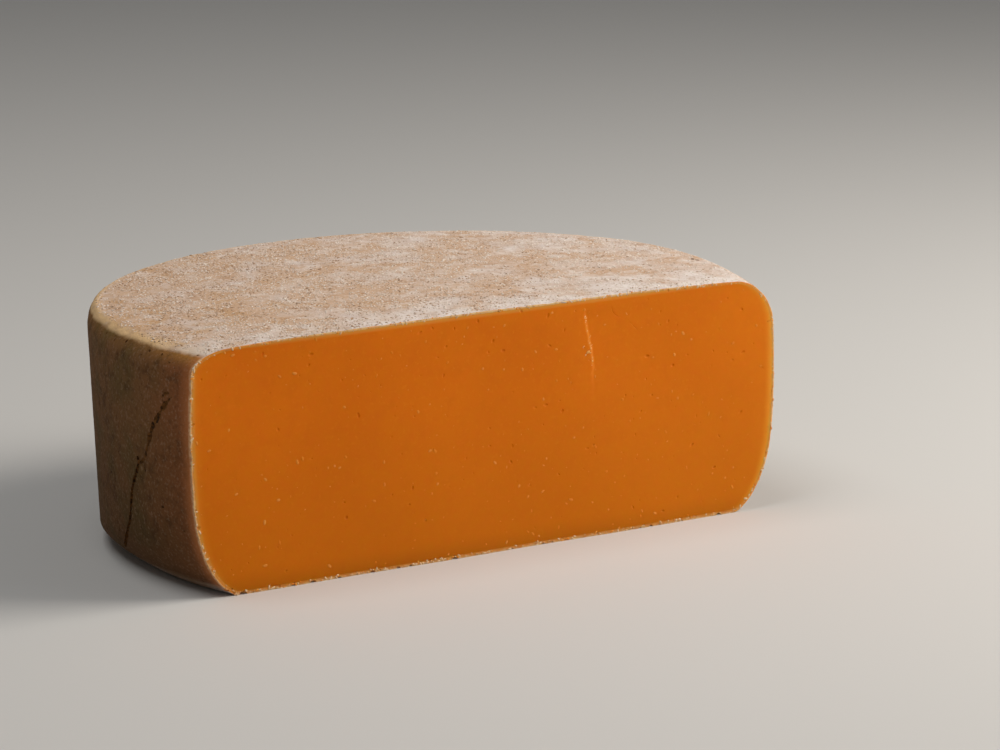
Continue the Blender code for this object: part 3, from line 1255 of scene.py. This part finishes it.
@dataclass(frozen=True)
class RindFinish:
    """Natural rind, brushed and dried for months: matt, mottled tan and brown, with a pale bloom on top."""

    tan: str = "#C6A68B"
    mouldy_left: float = 0.07
    mouldy_right: float = 0.14
    mouldy_by_cut: float = 0.19
    pink_grey: Patches = Patches("#D1C1B7", size_mm=24, detail=3, above=0.6, contrast=4)
    brown_stains: Patches = Patches("#A37850", size_mm=8, detail=4, above=0.54, contrast=3.0)
    streaks: Patches = Patches("#B98C55", size_mm=13, detail=4, above=0.49, contrast=6)
    streaks_share: float = 0.6
    bloom: Patches = Patches("#E2D7CF", size_mm=9, detail=4, above=0.64, contrast=3.0)
    brown_grain: Patches = Patches("#A37850", size_mm=2.2, detail=3, above=0.56, contrast=2.7)
    chalk_grain: Patches = Patches("#EFE5DC", size_mm=1.6, detail=3, above=0.56, contrast=2.7)
    rim: Patches = Patches("#E0BA89", size_mm=9, detail=3, above=0.34, contrast=4)
    # The side's brown, olive, red and dark colours below are partly the rind's own browner tone and partly
    # painted shade: they are laid darker than the top, as a side turned from the light looks.
    side: str = "#7A5533"
    olive_areas: Patches = Patches("#65512E", size_mm=17, detail=3, above=0.45, contrast=4)
    side_red: str = "#8A522F"
    dark_areas: Patches = Patches("#493017", size_mm=5, detail=4, above=0.83, contrast=5)
    dark_share: float = 0.6
    dark_gather_mm: float = 22.0
    darkening_mm: float = 110.0
    warm: str = "#B27E34"
    warm_depth_mm: float = 7.0
    dark_grain: Patches = Patches("#493017", size_mm=1.8, detail=3, above=0.53, contrast=2.25)
    tan_grain: Patches = Patches("#C6A68B", size_mm=1.5, detail=3, above=0.53, contrast=1.0)
    dust: Patches = Patches("#C6A68B", size_mm=11, detail=4, above=0.35, contrast=2.4)
    dust_share: float = 0.22
    # Painted glow: by the cut the side is laid redder, then pale at the very edge, standing in for light
    # shining through the rind.
    glowing: str = "#CC7E4A"
    glow_width: float = 8.0 * MM
    edge: str = "#F2CE9E"
    edge_width: float = 1.6 * MM
    pit: str = "#432C18"
    rim_depth_mm: float = 2.2
    rim_sharpness_mm: float = 1.8

    def material(self) -> Material:
        """Makes the rind's material."""
        coat = Coat("natural_rind")
        near_cut, from_left, rim_share, below_rim, above_foot = coat.read(
            "near_cut", "from_left", "rim_share", "below_rim", "above_foot"
        )
        on_rim = rim_share * (coat.spread(self.rim) + (1 - from_left) * 0.5).clipped()
        top = self.top_colour(coat, near_cut, from_left)
        top = coat.laid(top, self.rim.colour, on_rim * (1 - 0.5 * near_cut))
        # Partly real bloom and partly a painted highlight: a whitish line along the rim by the cut.
        top = coat.laid(top, self.bloom.colour, rim_share * near_cut * 0.5)
        waver = (coat.noise(12, 2) - 0.5) * 1.4 + (coat.noise(2, 2) - 0.5) * 0.6
        below = below_rim / MM - self.rim_depth_mm + waver
        flank = self.flank_colour(coat, below, near_cut, from_left)
        side = (below / self.rim_sharpness_mm).eased() * above_foot
        colour = add_node(coat.tree, "ShaderNodeMix", {0: side, 6: top, 7: flank}, data_type="RGBA").output(2)
        coat.bumped(grain=(0.55, 2, 0.14), wrinkles=(1.6, 3, 0.25), dents=(4, 2, 0.3))
        matt_from, matt_range = 0.78, 0.15
        return coat.done(colour, coat.noise(3, 2) * matt_range + matt_from, 0.12)

    def top_colour(self, coat: Coat, near_cut: Wire, from_left: Wire) -> Wire:
        """The pale flat faces: tan and pink-grey patches under a bloom, whiter to the right and at the cut.

        Args:
            coat: The material in the making.
            near_cut: How near the cut the point is, from 0 to 1.
            from_left: How far to the right it is, from 0 to 1.

        Returns:
            The colour.
        """
        mouldy = from_left * self.mouldy_right + near_cut * self.mouldy_by_cut + self.mouldy_left
        colour = coat.mottled(self.tan, self.pink_grey, more=mouldy)
        colour = coat.mottled(colour, self.brown_stains)
        streaked = coat.spread(self.streaks).clipped() * (1 - from_left) ** 2.0
        colour = coat.laid(colour, self.streaks.colour, streaked * self.streaks_share)
        colour = coat.mottled(colour, self.bloom, more=mouldy)
        colour = coat.mottled(colour, self.brown_grain, self.chalk_grain)
        return coat.laid(colour, self.pit, coat.dots(spacing_mm=1.9, size_mm=0.6, kept=0.35) * 0.25)

    def flank_colour(self, coat: Coat, below: Wire, near_cut: Wire, from_left: Wire) -> Wire:
        """The side: brown and olive patches with pits, redder by the cut and dusty to the right, darker than
        the top partly as painted shade, and with a painted glow along the cut edge.

        Args:
            coat: The material in the making.
            below: How far the point is below the rim, in millimetres.
            near_cut: How near the cut it is, from 0 to 1.
            from_left: How far to the right it is, from 0 to 1.

        Returns:
            The colour.
        """
        dark = self.dark_areas.colour
        colour = coat.mottled(self.side, self.olive_areas)
        colour = coat.laid(colour, self.side_red, near_cut)
        gathered = coat.noise(self.dark_gather_mm, 2) * 0.6
        colour = coat.laid(colour, dark, coat.spread(self.dark_areas, gathered).clipped() * self.dark_share)
        colour = coat.laid(colour, dark, (below / self.darkening_mm).eased() * 0.5)
        by_rim = (1 - below / self.warm_depth_mm).eased() * 0.6
        colour = coat.laid(colour, self.warm, (0.3 + near_cut) * by_rim)
        colour = coat.mottled(colour, self.dark_grain, self.tan_grain)
        dusty = (1 + coat.spread(self.dust).clipped()) * self.dust_share
        colour = coat.laid(colour, self.dust.colour, dusty * from_left)
        # Painted glow along the cut edge of the side.
        from_cut = (1 - near_cut) * NEAR_CUT
        painted_glow_by_cut_share = (1 - from_cut / self.glow_width).clipped() ** 1.5
        colour = coat.laid(colour, self.glowing, painted_glow_by_cut_share * (0.75 - 0.35 * from_left))
        # Painted glow, pale, in the last millimetres by the cut.
        painted_edge_glow = (1 - from_cut / self.edge_width).clipped()
        colour = coat.laid(colour, self.edge, painted_edge_glow * (coat.noise(1.4, 2) * 2.4 - 0.5))
        return coat.laid(colour, self.pit, coat.dots(spacing_mm=4.5, size_mm=0.8, kept=0.3) * 0.5)


@dataclass(frozen=True)
class GrainFinish:
    """Grains of the rind's own dry skin and mould, each a little lighter or darker than the next."""

    name: str
    light: str
    dark: str

    def material(self) -> Material:
        """Makes the grains' material."""
        coat = Coat(self.name)
        return coat.done(coat.laid(self.light, self.dark, coat.read("tint")[0] ** 2.0), 0.9, 0.15)


@dataclass(frozen=True)
class CrackFinish:
    """The walls of cracks, pits and scuffs: old dry rind without its bloom, with darker patches that are
    partly grime and, in cracks and pits, partly painted shade in the hollows.
    """

    name: str
    body: str
    dirt: Patches

    def material(self) -> Material:
        """Makes the walls' material."""
        coat = Coat(self.name)
        return coat.done(coat.mottled(self.body, self.dirt), 0.9, 0.2)


@dataclass(frozen=True)
class FloorFinish:
    """A plain pale studio floor, matt."""

    body: str = "#C9C7C3"

    def material(self) -> Material:
        """Makes the floor's material."""
        return Coat("studio_floor").done(srgb(self.body), 0.8, 0.2)


# What opens the surface and what lies on it


@dataclass(frozen=True)
class LongCrack:
    """The long crack in the left side, with its fork, jog and scratch, and two fissures in the face.

    Spots on the side are an azimuth in degrees and a height in millimetres. Spots on the face are millimetres
    across from the axis and up.
    """

    upper: tuple[Spot, ...] = (
        (194.0, 90.2), (192.3, 85.8), (190.6, 80.0), (189.0, 74.2),
        (187.9, 68.0), (186.5, 59.6), (185.9, 56.7),
    )
    lower: tuple[Spot, ...] = (
        (184.1, 57.3), (183.9, 53.6), (182.3, 46.3), (181.2, 40.5),
        (180.4, 33.6), (179.2, 25.7), (175.5, 14.6), (172.2, 8.2),
    )
    fork: tuple[Spot, ...] = ((193.4, 91.5), (192.4, 90.6), (191.4, 88.6))
    jog: tuple[Spot, ...] = ((186.0, 58.6), (184.8, 55.8), (183.7, 58.2))
    scratch: tuple[Spot, ...] = ((173.6, 22.0), (173.9, 18.5), (173.3, 15.5))
    upper_fissure: tuple[Spot, ...] = ((62.8, 108.3), (63.5, 104.6), (65.1, 102.6), (68.4, 100.8))
    lower_fissure: tuple[Spot, ...] = ((71.5, 98.4), (73.9, 97.3), (77.3, 93.9))

    def open(
        self, rind: Object, paste: Object, form: WheelForm, wall: Material
    ) -> None:
        """Opens the crack in the rind and the paste, and the fissures in the paste.

        Args:
            rind: The rind.
            paste: The paste.
            form: The wheel's sizes.
            wall: The finish of the crack's walls.
        """
        grooves = (
            Groove("upper_crack", self.upper, 3.0, 0.9, crumbling_mm=1.0, narrowing=0.2),
            Groove("fork", self.fork, 1.8, 0.5, wander_mm=0.2, crumbling_mm=0.8, narrowing=0.3),
            Groove("jog", self.jog, 1.9, 1.0),
            Groove("lower_crack", self.lower, 2.1, 1.3, crumbling_mm=1.2, narrowing=0.06),
            Groove("scratch", self.scratch, 0.5, 0.25),
        )
        for groove in grooves:
            cut_out(groove.cutter(rind, form.on_side, wall), Walls.CUTTER, rind, paste)
        fissures = (
            Groove("upper_fissure", self.upper_fissure, 0.7, 0.2, crumbling_mm=0.2, narrowing=0.3),
            Groove("lower_fissure", self.lower_fissure, 0.6, 0.15, crumbling_mm=0.2, narrowing=0.3),
        )
        for fissure in fissures:
            cutter = fissure.cutter(paste, form.on_face, paste.data.materials[0])
            cut_out(cutter, Walls.PIECE, paste)


@dataclass(frozen=True)
class Chips:
    """Small chips all along the rind's cut edge, and larger ones out of its foot."""

    frayed: Strewn = Strewn(
        "edge_chips", Lump(0.4, 1.3, 0.7, 2.0), Zone.CUT, per_square_cm=130, spacing_mm=1.3, patch_size_mm=14,
        patchiness=0.6, seed=11,
    )
    foot: Placed = Placed(
        "foot_chips",
        Lump(1.6, 3.4, 0.9, 1.6),
        tuple((x, 0) for x in (-138, -128, -103, -93, -80, -63, -50, -44, -21, 9, 26, 78, 84, 101, 122)),
        seed=5,
    )

    def break_out(self, rind: Object, paste: Object, form: WheelForm) -> None:
        """Breaks the chips out of both pieces.

        Args:
            rind: The rind.
            paste: The paste.
            form: The wheel's sizes.
        """
        wall = rind.data.materials["cut_rind"]
        for cutter in (self.frayed.over(rind, form, wall), self.foot.on(rind, form.on_face, wall)):
            carved(rind, [cutter], Walls.CUTTER)
            cutter.data.materials[0] = paste.data.materials[0]
            cut_out(cutter, Walls.PIECE, paste)


@dataclass(frozen=True)
class Pits:
    """Pits and scuffs in the rind, and pinholes in the paste."""

    side_pits: Strewn = Strewn(
        "side_pits", Lump(0.5, 1.3, 0.5, 2.4, proud_mm=0.05), Zone.SIDE, per_square_cm=0.3, spacing_mm=4.0,
        patch_size_mm=30, patchiness=0.6, seed=21,
    )
    top_scuffs: Strewn = Strewn(
        "top_scuffs", Lump(0.9, 2.0, 0.3, 3.0, raggedness=0.6), Zone.TOP, per_square_cm=0.15, spacing_mm=8.0,
        patch_size_mm=30, patchiness=0.5, seed=22,
    )
    larger_pits: Placed = Placed(
        "larger_pits",
        Lump(1.0, 1.8, 0.8, 1.8),
        (
            (195.2, 30.0), (190.5, 38.8), (175.2, 106.2), (178.9, 107.5), (190.0, 106.8), (186.5, 106.9),
            (171.0, 107.0),
        ),
        seed=23,
    )
    rim_nick: Placed = Placed("rim_nick", Lump(1.8, 2.6, 0.9, 1.6), ((143.5, 2.3), (142.6, 5.0)), seed=24)
    pinholes: Strewn = Strewn(
        "pinholes", Lump(0.6, 1.8, 0.5, 1.9, sides=7), Zone.CUT, per_square_cm=0.7, spacing_mm=3,
        patch_size_mm=25, patchiness=0.5, seed=25,
    )

    def press(
        self,
        rind: Object,
        paste: Object,
        form: WheelForm,
        wall: Material,
        bare: Material,
    ) -> None:
        """Presses the pits into the rind and opens the pinholes.

        Args:
            rind: The rind.
            paste: The paste.
            form: The wheel's sizes.
            wall: The finish of the pits' walls.
            bare: The finish of scuffed rind.
        """
        for strewn, finish in ((self.side_pits, wall), (self.top_scuffs, bare)):
            cut_out(strewn.over(rind, form, finish), Walls.CUTTER, rind)
        for placed, place in ((self.larger_pits, form.on_side), (self.rim_nick, form.on_top)):
            cut_out(placed.on(rind, place, wall), Walls.CUTTER, rind)
        cut_out(self.pinholes.over(paste, form, paste.data.materials[0]), Walls.PIECE, paste)


@dataclass(frozen=True)
class Litter:
    """What the knife and the months left lying on the cheese: specks, crumbs, flaps, mould and scurf."""

    speck: Lump = Lump(0.45, 1.4, 0.16, 2.2, raggedness=0.5, sides=6)
    crumb: Lump = Lump(0.3, 1.1, 0.4, 2.4, raggedness=0.5, sides=6)
    fine_crumb: Lump = Lump(0.25, 0.7, 0.5, 2.4, raggedness=0.5, sides=6)
    grain: Lump = Lump(0.4, 1.3, 0.6, 1.8, proud_mm=0.08, raggedness=0.6, sides=5, rows=2)
    splinter: Lump = Lump(0.4, 0.9, 0.6, 4.5, proud_mm=0.15, raggedness=0.5, sides=6)
    flap: Lump = Lump(0.6, 1.3, 0.3, 2.0, raggedness=0.6)
    flaps: tuple[Spot, ...] = ((50.0, 87.1), (48.7, 85.9), (51.4, 88.6))
    splinters: tuple[Spot, ...] = tuple((x, 111.8) for x in (37, 41, 46, 52, 57, 59, 63, 66, 71, 79, 88))
    corner: tuple[Spot, ...] = ((-147.8, 105.8), (-149.2, 104.2), (-148.4, 106.9), (-148.9, 105.2))

    def strew(self, rind: Object, paste: Object, form: WheelForm) -> list[Object]:
        """Strews it over the finished surfaces.

        Args:
            rind: The rind.
            paste: The paste.
            form: The wheel's sizes.

        Returns:
            One piece for each kind.
        """
        dry_curd = CurdFinish("dry_curd", "#EA8820", "#F29E48").material()
        curd_crumb = CurdFinish("curd_crumb", "#E98C2E", "#F0A850").material()
        torn_curd = CurdFinish("torn_curd", "#F2A24E", "#FACB90").material()
        rind_crumb = GrainFinish("rind_crumb", "#EFCFA6", "#D4985A").material()
        mould = GrainFinish("white_mould", "#EFE4D8", "#C9AE96").material()
        scurf = GrainFinish("brown_scurf", "#C2A388", "#99785A").material()
        specks = Strewn("curd_specks", self.speck, Zone.CUT, 1.6, 2.5, 25, 0.6, seed=31)
        tear_crumbs = Strewn("tear_crumbs", self.fine_crumb, Zone.TEAR, 260, 0.5, seed=32)
        curd_crumbs = Strewn("curd_crumbs", self.crumb, Zone.CUT, 70, 0.9, 10, 0.6, seed=33)
        rind_crumbs = Strewn("rind_crumbs", self.crumb, Zone.CUT, 130, 0.6, 8, 0.6, seed=34)
        mould_grains = Strewn("mould_grains", self.grain, Zone.TOP, 44, 0.7, 26, 0.6, seed=35)
        scurf_grains = Strewn(
            "scurf_grains", self.grain, Zone.TOP, 38, 0.8, 22, 0.9, seed=36, rarer="from_left"
        )
        face = form.on_face
        return [
            specks.over(paste, form, dry_curd),
            tear_crumbs.over(paste, form, torn_curd),
            Placed("tear_flaps", self.flap, self.flaps, seed=39).on(paste, face, torn_curd),
            curd_crumbs.over(rind, form, curd_crumb),
            rind_crumbs.over(rind, form, rind_crumb),
            mould_grains.over(rind, form, mould),
            scurf_grains.over(rind, form, scurf),
            Placed("rind_splinters", self.splinter, self.splinters, seed=37).on(rind, face, mould),
            Placed("corner_crumbs", self.crumb, self.corner, seed=38).on(rind, face, mould),
        ]


# The cheese


@dataclass
class Cheese:
    """The cut wheel: its rind, its paste and what age and the knife left on them."""

    form: WheelForm = field(default_factory=WheelForm)
    rind_cells: tuple[int, int] = (160, 74)
    core_cells: tuple[int, int] = (44, 40)
    rind_side: float = 1.4 * MM
    rind_top: float = 1.42 * MM
    rind_foot: float = 1.55 * MM
    relief: RindRelief = field(default_factory=RindRelief)
    crease_degrees: float = 40.0
    torn_from: float = 0.15
    torn_range: float = 0.3
    rim_to: float = 0.85
    rim_fade: float = 0.3
    foot_from: float = 0.5 * MM
    foot_fade: float = 5 * MM
    face_depth: float = 2.0 * MM

    def build(self) -> list[Object]:
        """Presses, cuts, cracks and strews the cheese.

        Returns:
            Its pieces, about the wheel's axis.
        """
        # The crack walls' dark brown and darker patches are partly old dried rind and grime and partly
        # painted shade in the cracks and pits.
        dirt = Patches("#38230F", size_mm=2.0, detail=2, above=0.42, contrast=4)
        wear = Patches("#94704C", size_mm=2.0, detail=2, above=0.42, contrast=4)
        wall = CrackFinish("crack_wall", "#72491F", dirt).material()
        bare = CrackFinish("bare_rind", "#B58D66", wear).material()
        rind, paste = self.cut_wheel()
        LongCrack().open(rind, paste, self.form, wall)
        Chips().break_out(rind, paste, self.form)
        Pits().press(rind, paste, self.form, wall, bare)
        for piece in (rind, paste):
            piece.data.set_sharp_from_angle(angle=math.radians(self.crease_degrees))
        self.remember_paste(paste)
        self.remember_rind(rind)
        return [rind, paste, *Litter().strew(rind, paste, self.form)]

    def cut_wheel(self) -> tuple[Object, Object]:
        """Presses the wheel and cuts its front away.

        Returns:
            The rind and the paste inside it.
        """
        whole = PressedWheel("rind", self.form, *self.rind_cells, relief=self.relief)
        inside = PressedWheel(
            "core", self.form, *self.core_cells, self.rind_side, self.rind_top, self.rind_foot
        )
        rind = whole.build(RindFinish().material())
        core = inside.build(PasteFinish().material())
        paste = linked("paste", core.data.copy())
        knife = KnifePath(self.form).build(RindCutFinish().material())
        carved(rind, [core, knife], Walls.CUTTER)
        carved(paste, [knife], Walls.PIECE)
        discard(core, knife)
        return rind, paste

    def inward(self, x: np.ndarray, y: np.ndarray, z: np.ndarray) -> np.ndarray:
        """How far points are from the side, towards the axis."""
        side = self.form.radius_at(np.arctan2(y, x), np.clip(z, 0, self.form.height - self.form.shoulder))
        return side - np.hypot(x, y)

    def from_left(self, x: np.ndarray) -> np.ndarray:
        """How far to the right points are, from 0 to 1."""
        return np.clip(x / (2 * self.form.radius) + 0.5, 0, 1)

    def remember_paste(self, paste: Object) -> None:
        """Keeps how far each point of the paste is from the rind, and where its face is torn."""
        form, tear = self.form, KnifePath(self.form)
        x, y, z = corners_of(paste.data).T
        inward = self.inward(x, y, z)
        across = np.array([v.normal.x for v in paste.data.vertices])
        beside = np.abs(x - tear.tear_top_x - tear.tear_lean / 2) < 2 * tear.tear_lean
        high = z > form.height - 1.5 * tear.tear_length
        near_tear = beside & high & (y < -form.cut_before_axis + self.face_depth)
        store(
            paste.data,
            from_side=inward,
            from_foot=z,
            from_rind=np.maximum(np.minimum(inward - self.rind_side, form.height - z - self.rind_top), 0),
            from_left=self.from_left(x),
            torn=np.clip((across - self.torn_from) / self.torn_range, 0, 1) * near_tear,
        )

    def remember_rind(self, rind: Object) -> None:
        """Keeps where each point of the rind lies: below the rim, on the rim, near the cut."""
        form, relief = self.form, self.relief
        x, y, z = corners_of(rind.data).T
        azimuth = np.arctan2(y, x)
        past_widest = form.radius_at(azimuth, np.full_like(z, form.height / 2)) - np.hypot(x, y)
        from_rim = past_widest / form.rim(azimuth)["top_in"]
        top = form.height - relief.sink - relief.lump_depth / 2
        store(
            rind.data,
            below_rim=form.height - form.shoulder - z,
            above_foot=np.clip((z - self.foot_from) / self.foot_fade, 0, 1),
            rim_share=np.clip((self.rim_to - from_rim) / self.rim_fade, 0, 1),
            near_cut=np.clip(1 - (y + form.cut_before_axis) / NEAR_CUT, 0, 1),
            rind_depth=np.clip(np.minimum.reduce([self.inward(x, y, z) - relief.sink, top - z, z]), 0, 1),
            from_left=self.from_left(x),
        )


# The studio


@dataclass(frozen=True)
class PhotoCamera:
    """The photograph's viewpoint, measured from the wheel's axis at floor level."""

    place: tuple[float, float, float] = (-863.1 * MM, -1526.2 * MM, 476.4 * MM)
    yaw: float = 0.5307
    pitch: float = 0.2263
    roll: float = -0.0088
    lens_mm: float = 140.66
    sensor_mm: float = 36.0
    farthest: float = 50.0

    def build(self, axis: Vector) -> None:
        """Puts the camera there.

        Args:
            axis: Where the wheel's axis meets the floor.
        """
        level = math.cos(self.pitch)
        forward = Vector((math.sin(self.yaw) * level, math.cos(self.yaw) * level, -math.sin(self.pitch)))
        right = Vector((math.cos(self.yaw), -math.sin(self.yaw), 0))
        up = right.cross(forward)
        rolled_right = right * math.cos(self.roll) + up * math.sin(self.roll)
        rolled_up = up * math.cos(self.roll) - right * math.sin(self.roll)
        data = bpy.data.cameras.new("photo_camera")
        data.lens = self.lens_mm
        data.sensor_width = self.sensor_mm
        data.clip_end = self.farthest
        camera = bpy.data.objects.new("photo_camera", data)
        bpy.context.scene.collection.objects.link(camera)
        turned = Matrix((rolled_right, rolled_up, -forward)).transposed().to_4x4()
        camera.matrix_world = Matrix.Translation(axis + Vector(self.place)) @ turned
        bpy.context.scene.camera = camera


@dataclass(frozen=True)
class SoftLight:
    """A studio softbox, aimed at the cheese, with its angles in degrees."""

    name: str
    azimuth: float
    elevation: float
    distance: float
    width: float
    watts: float
    colour: str = "#FFFFFF"

    def build(self, target: Vector) -> None:
        """Hangs the light.

        Args:
            target: What it is aimed at.
        """
        azimuth, elevation = math.radians(self.azimuth), math.radians(self.elevation)
        level = math.cos(elevation)
        out = Vector((math.cos(azimuth) * level, math.sin(azimuth) * level, math.sin(elevation)))
        data = bpy.data.lights.new(self.name, "AREA")
        data.energy = self.watts
        data.size = self.width
        data.color = srgb(self.colour)[:3]
        lamp = bpy.data.objects.new(self.name, data)
        bpy.context.scene.collection.objects.link(lamp)
        lamp.location = target + out * self.distance
        lamp.rotation_euler = (-out).to_track_quat("-Z", "Y").to_euler()


@dataclass(frozen=True)
class Studio:
    """A plain pale floor, soft lights and an even, dim surround."""

    floor_width: float = 30.0
    surround: str = "#D8DADD"
    surround_strength: float = 0.16
    lights: tuple[SoftLight, ...] = (
        SoftLight("key_light", -24, 40, distance=1.5, width=0.85, watts=20.3, colour="#FFF8F0"),
        SoftLight("front_fill", -40, 22, distance=1.5, width=1.0, watts=3.2),
        SoftLight("overhead", 180, 72, distance=2.5, width=1.4, watts=21),
    )

    def build(self, target: Vector) -> None:
        """Builds the studio round the cheese.

        Args:
            target: What the lights are aimed at.
        """
        half = self.floor_width / 2
        mesh = bpy.data.meshes.new("floor")
        corners = [(-half, -half, 0), (half, -half, 0), (half, half, 0), (-half, half, 0)]
        mesh.from_pydata(corners, [], [(0, 1, 2, 3)])
        mesh.materials.append(FloorFinish().material())
        linked("floor", mesh)
        for light in self.lights:
            light.build(target)
        world = bpy.data.worlds.new("surround")
        world.use_nodes = True
        background = world.node_tree.nodes["Background"]
        background.inputs["Color"].default_value = srgb(self.surround)
        background.inputs["Strength"].default_value = self.surround_strength
        scene = bpy.context.scene
        scene.world = world
        scene.view_settings.view_transform = "Standard"


def place_at(piece: Object, axis: Vector) -> None:
    """Moves a piece's mesh from the wheel's axis to its place in the frame, inside the solid's box.

    Args:
        piece: The piece.
        axis: Where the wheel's axis meets the floor.
    """
    low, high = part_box(NODE)
    corners = np.clip(corners_of(piece.data) + np.array(axis), np.array(low), np.array(high))
    piece.data.vertices.foreach_set("co", corners.astype(np.float32).ravel())
    piece.data.update()


def main() -> None:
    """Builds the cheese in its studio and hands every piece to the frame."""
    logging.basicConfig(level=logging.INFO, format="%(message)s")
    cheese = Cheese()
    axis = cheese.form.axis()
    log.info("the wheel's axis stands at x %.2f mm, y %.2f mm", axis.x / MM, axis.y / MM)
    for piece in cheese.build():
        place_at(piece, axis)
        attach(piece, BODY)
        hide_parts(NODE)
        triangles = sum(len(face.vertices) - 2 for face in piece.data.polygons)
        finishes = [finish.name for finish in piece.data.materials]
        log.info("%s: %d triangles, materials %s", piece.name, triangles, finishes)
    PhotoCamera().build(axis)
    Studio().build(axis + Vector((0, 0, cheese.form.height / 2)))


if __name__ == "__main__":
    main()
